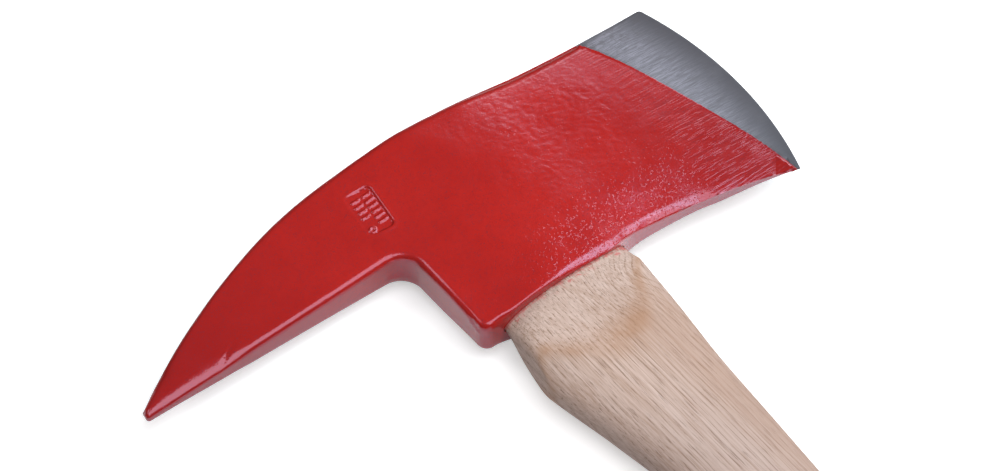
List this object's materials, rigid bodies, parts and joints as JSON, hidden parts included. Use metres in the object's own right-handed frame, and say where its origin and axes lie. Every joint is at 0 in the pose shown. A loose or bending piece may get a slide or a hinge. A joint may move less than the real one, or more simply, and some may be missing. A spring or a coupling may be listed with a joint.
{
  "type": "fire axe",
  "caption": "Pick-head fire axe: red-painted forged head with a bare ground bit, oval eye and tapered pick, wedged on a curved wooden handle with a fawn-foot end.",
  "frame": {"origin": "centre of the flat end of the handle's butt", "axes": "+Y up the handle to the crown of the head, +X towards the cutting edge and -X towards the pick, +Z across the thickness; the axe's middle plane is Z = 0"},
  "size_m": [0.3119, 0.914, 0.0312],
  "materials": {
    "red_paint": "glossy red enamel over a rough forging, with the bit ground to bare steel",
    "handle_wood": "bare sanded ash or hickory, pale, with open pores along the grain",
    "wedge_wood": "sawn hardwood end grain",
    "wedge_steel": "plain dull steel, hammered flush"
  },
  "bodies": {
    "root": {"axe_head": "red_paint", "handle": "handle_wood", "wooden_wedge": "wedge_wood", "steel_wedge_1": "wedge_steel", "steel_wedge_2": "wedge_steel"}
  },
  "joints": []
}
